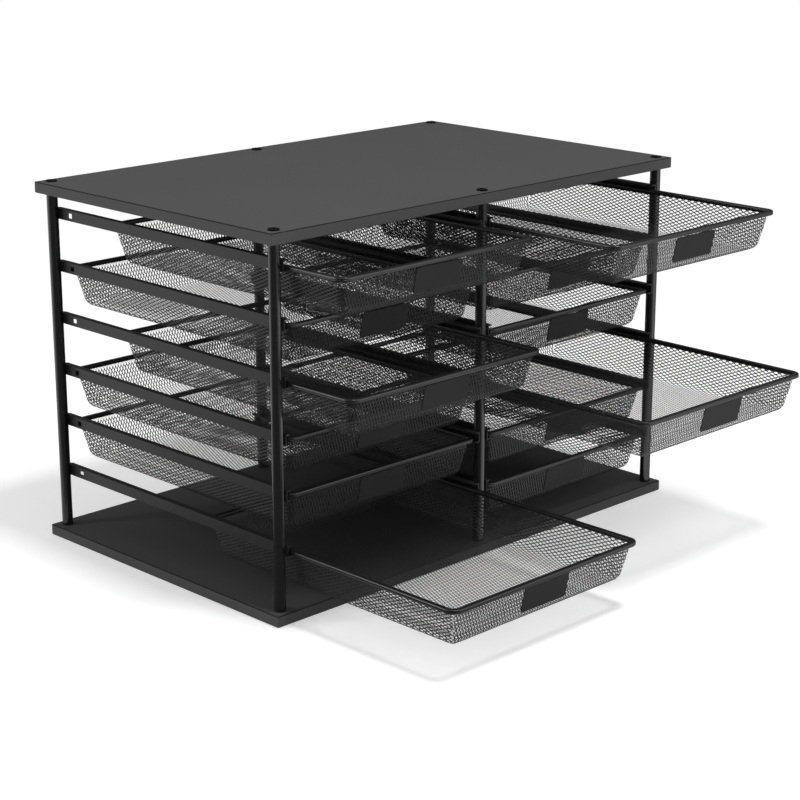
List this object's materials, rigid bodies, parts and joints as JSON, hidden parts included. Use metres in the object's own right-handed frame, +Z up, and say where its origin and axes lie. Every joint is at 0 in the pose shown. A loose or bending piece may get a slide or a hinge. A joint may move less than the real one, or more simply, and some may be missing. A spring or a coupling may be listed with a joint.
{
  "type": "mesh drawer file organizer",
  "caption": "Desk file organizer: two dark boards on round black posts, with two columns of sliding black mesh drawers on steel runners.",
  "frame": {"origin": "middle of the bottom board's underside, on the surface that it stands on", "axes": "+X to the right seen from the front, +Y to the rear, +Z up; the drawers pull out along -Y"},
  "size_m": [0.61, 0.6079, 0.4046],
  "materials": {
    "board": "satin",
    "post_tube": "gloss",
    "runner_steel": "satin",
    "rim_steel": "satin",
    "mesh_steel": "satin",
    "plate_steel": "satin",
    "black_screw": "satin",
    "zinc": "satin"
  },
  "bodies": {
    "frame": {"top_board": "board", "bottom_board": "board", "post_front_left": "post_tube", "post_front_centre": "post_tube", "post_front_right": "post_tube", "post_rear_left": "post_tube", "post_rear_centre": "post_tube", "post_rear_right": "post_tube", "post_inserts": "zinc", "top_screws": "black_screw", "base_screws": "black_screw", "runner_welds": "runner_steel", "runners_left_1": "runner_steel", "runners_left_2": "runner_steel", "runners_left_3": "runner_steel", "runners_left_4": "runner_steel", "runners_left_5": "runner_steel", "runners_left_6": "runner_steel", "runners_right_1": "runner_steel", "runners_right_2": "runner_steel", "runners_right_3": "runner_steel", "runners_right_4": "runner_steel", "runners_right_5": "runner_steel", "runners_right_6": "runner_steel"},
    "drawer_left_1": {"drawer_rim_left_1": "rim_steel", "mesh_basket_left_1": "mesh_steel", "label_plate_left_1": "plate_steel"},
    "drawer_left_2": {"drawer_rim_left_2": "rim_steel", "mesh_basket_left_2": "mesh_steel", "label_plate_left_2": "plate_steel"},
    "drawer_left_3": {"drawer_rim_left_3": "rim_steel", "mesh_basket_left_3": "mesh_steel", "label_plate_left_3": "plate_steel"},
    "drawer_left_4": {"drawer_rim_left_4": "rim_steel", "mesh_basket_left_4": "mesh_steel", "label_plate_left_4": "plate_steel"},
    "drawer_left_5": {"drawer_rim_left_5": "rim_steel", "mesh_basket_left_5": "mesh_steel", "label_plate_left_5": "plate_steel"},
    "drawer_left_6": {"drawer_rim_left_6": "rim_steel", "mesh_basket_left_6": "mesh_steel", "label_plate_left_6": "plate_steel"},
    "drawer_right_1": {"drawer_rim_right_1": "rim_steel", "mesh_basket_right_1": "mesh_steel", "label_plate_right_1": "plate_steel"},
    "drawer_right_2": {"drawer_rim_right_2": "rim_steel", "mesh_basket_right_2": "mesh_steel", "label_plate_right_2": "plate_steel"},
    "drawer_right_3": {"drawer_rim_right_3": "rim_steel", "mesh_basket_right_3": "mesh_steel", "label_plate_right_3": "plate_steel"},
    "drawer_right_4": {"drawer_rim_right_4": "rim_steel", "mesh_basket_right_4": "mesh_steel", "label_plate_right_4": "plate_steel"},
    "drawer_right_5": {"drawer_rim_right_5": "rim_steel", "mesh_basket_right_5": "mesh_steel", "label_plate_right_5": "plate_steel"},
    "drawer_right_6": {"drawer_rim_right_6": "rim_steel", "mesh_basket_right_6": "mesh_steel", "label_plate_right_6": "plate_steel"}
  },
  "joints": [
    {"name": "slide_left_1", "type": "slide", "parent": "frame", "child": "drawer_left_1", "axis": [0, -1, 0], "range_m": [-0.08, 0.2]},
    {"name": "slide_left_2", "type": "slide", "parent": "frame", "child": "drawer_left_2", "axis": [0, -1, 0], "range_m": [-0.004, 0.276]},
    {"name": "slide_left_3", "type": "slide", "parent": "frame", "child": "drawer_left_3", "axis": [0, -1, 0], "range_m": [-0.092, 0.188]},
    {"name": "slide_left_4", "type": "slide", "parent": "frame", "child": "drawer_left_4", "axis": [0, -1, 0], "range_m": [0, 0.28]},
    {"name": "slide_left_5", "type": "slide", "parent": "frame", "child": "drawer_left_5", "axis": [0, -1, 0], "range_m": [0, 0.28]},
    {"name": "slide_left_6", "type": "slide", "parent": "frame", "child": "drawer_left_6", "axis": [0, -1, 0], "range_m": [-0.228, 0.052]},
    {"name": "slide_right_1", "type": "slide", "parent": "frame", "child": "drawer_right_1", "axis": [0, -1, 0], "range_m": [-0.171, 0.109]},
    {"name": "slide_right_2", "type": "slide", "parent": "frame", "child": "drawer_right_2", "axis": [0, -1, 0], "range_m": [0, 0.28]},
    {"name": "slide_right_3", "type": "slide", "parent": "frame", "child": "drawer_right_3", "axis": [0, -1, 0], "range_m": [0, 0.28]},
    {"name": "slide_right_4", "type": "slide", "parent": "frame", "child": "drawer_right_4", "axis": [0, -1, 0], "range_m": [-0.216, 0.064]},
    {"name": "slide_right_5", "type": "slide", "parent": "frame", "child": "drawer_right_5", "axis": [0, -1, 0], "range_m": [0, 0.28]},
    {"name": "slide_right_6", "type": "slide", "parent": "frame", "child": "drawer_right_6", "axis": [0, -1, 0], "range_m": [0, 0.28]}
  ]
}
